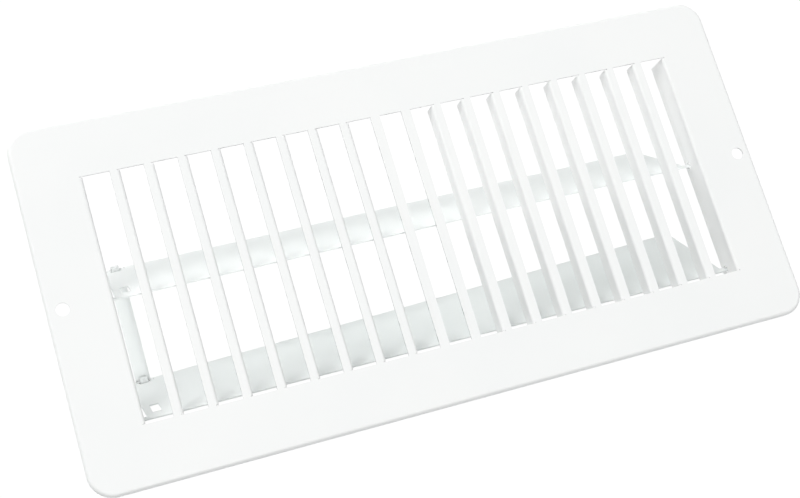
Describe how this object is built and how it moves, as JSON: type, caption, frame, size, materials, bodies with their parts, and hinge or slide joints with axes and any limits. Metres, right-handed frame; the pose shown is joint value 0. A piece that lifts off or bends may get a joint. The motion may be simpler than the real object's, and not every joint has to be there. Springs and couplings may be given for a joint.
{
  "type": "floor register",
  "caption": "White stamped-steel floor register: a rectangular louvred face with screw holes at its ends and linked damper blades behind that turn together to open or close the air path.",
  "frame": {"origin": "centre of the two screw holes on the front of the face, which is the centre of the face", "axes": "+X along the face's long side, +Y along its short side, +Z out of the front, away from the duct"},
  "size_m": [0.2922, 0.1396, 0.0475],
  "materials": {
    "face_enamel": "semi-gloss baked white enamel on stamped sheet steel",
    "damper_enamel": "thinner satin white enamel on sheet steel"
  },
  "bodies": {
    "face": {"face_plate": "face_enamel"},
    "rear_damper": {"rear_blade": "damper_enamel"},
    "front_damper": {"front_blade": "damper_enamel"},
    "link": {"link_bar": "damper_enamel"}
  },
  "joints": [
    {"name": "rear_blade_hinge", "type": "hinge", "parent": "face", "child": "rear_damper", "pos_m": [0, 0.0016, -0.0088], "axis": [-1, 0, 0], "range_deg": [-53.1, 28.4]},
    {"name": "front_blade_hinge", "type": "hinge", "parent": "face", "child": "front_damper", "pos_m": [0, -0.0445, -0.0088], "axis": [-1, 0, 0], "range_deg": [-53.1, 28.4]},
    {"name": "link_pivot", "type": "hinge", "parent": "rear_damper", "child": "link", "pos_m": [-0.11405, 0.02158, -0.04575], "axis": [-1, 0, 0], "range_deg": [-28.4, 53.1]}
  ],
  "couplings": [
    {"joint": "front_blade_hinge", "follows": "rear_blade_hinge", "ratio": 1},
    {"joint": "link_pivot", "follows": "rear_blade_hinge", "ratio": -1}
  ]
}
